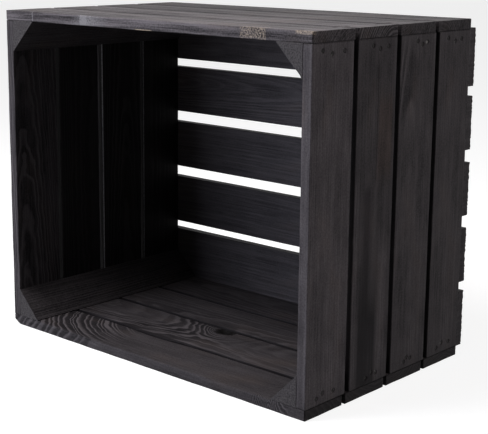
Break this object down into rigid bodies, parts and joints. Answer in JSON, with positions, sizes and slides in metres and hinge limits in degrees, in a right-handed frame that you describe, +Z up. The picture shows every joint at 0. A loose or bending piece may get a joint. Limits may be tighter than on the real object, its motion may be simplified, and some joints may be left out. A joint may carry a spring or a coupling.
{
  "type": "wooden apple crate",
  "caption": "Slatted black-stained wooden fruit crate lying on a long side, with an open front, boards nailed to triangular corner posts and a slatted back.",
  "frame": {"origin": "middle of the underside, on the surface that the crate stands on", "axes": "+X along the long boards, towards the right end seen from the open front; +Y from the open front to the slatted back; +Z up"},
  "size_m": [0.5, 0.3124, 0.417],
  "materials": {
    "side_boards": "planed softwood, thin black stain, matt",
    "corner_posts": "sawn softwood batten, thin black stain, matt",
    "back_slats": "sawn softwood, black stain, matt",
    "nails": "dull steel, mostly stained over"
  },
  "bodies": {
    "root": {"top_board_1": "side_boards", "top_board_2": "side_boards", "top_board_3": "side_boards", "top_board_4": "side_boards", "bottom_board_1": "side_boards", "bottom_board_2": "side_boards", "bottom_board_3": "side_boards", "bottom_board_4": "side_boards", "left_end_board_1": "side_boards", "left_end_board_2": "side_boards", "left_end_board_3": "side_boards", "left_end_board_4": "side_boards", "right_end_board_1": "side_boards", "right_end_board_2": "side_boards", "right_end_board_3": "side_boards", "right_end_board_4": "side_boards", "post_top_left": "corner_posts", "post_top_right": "corner_posts", "post_bottom_left": "corner_posts", "post_bottom_right": "corner_posts", "back_slat_1": "back_slats", "back_slat_2": "back_slats", "back_slat_3": "back_slats", "back_slat_4": "back_slats", "back_slat_5": "back_slats", "top_board_nails": "nails", "bottom_board_nails": "nails", "left_end_nails": "nails", "right_end_nails": "nails", "slat_nails": "nails"}
  },
  "joints": []
}
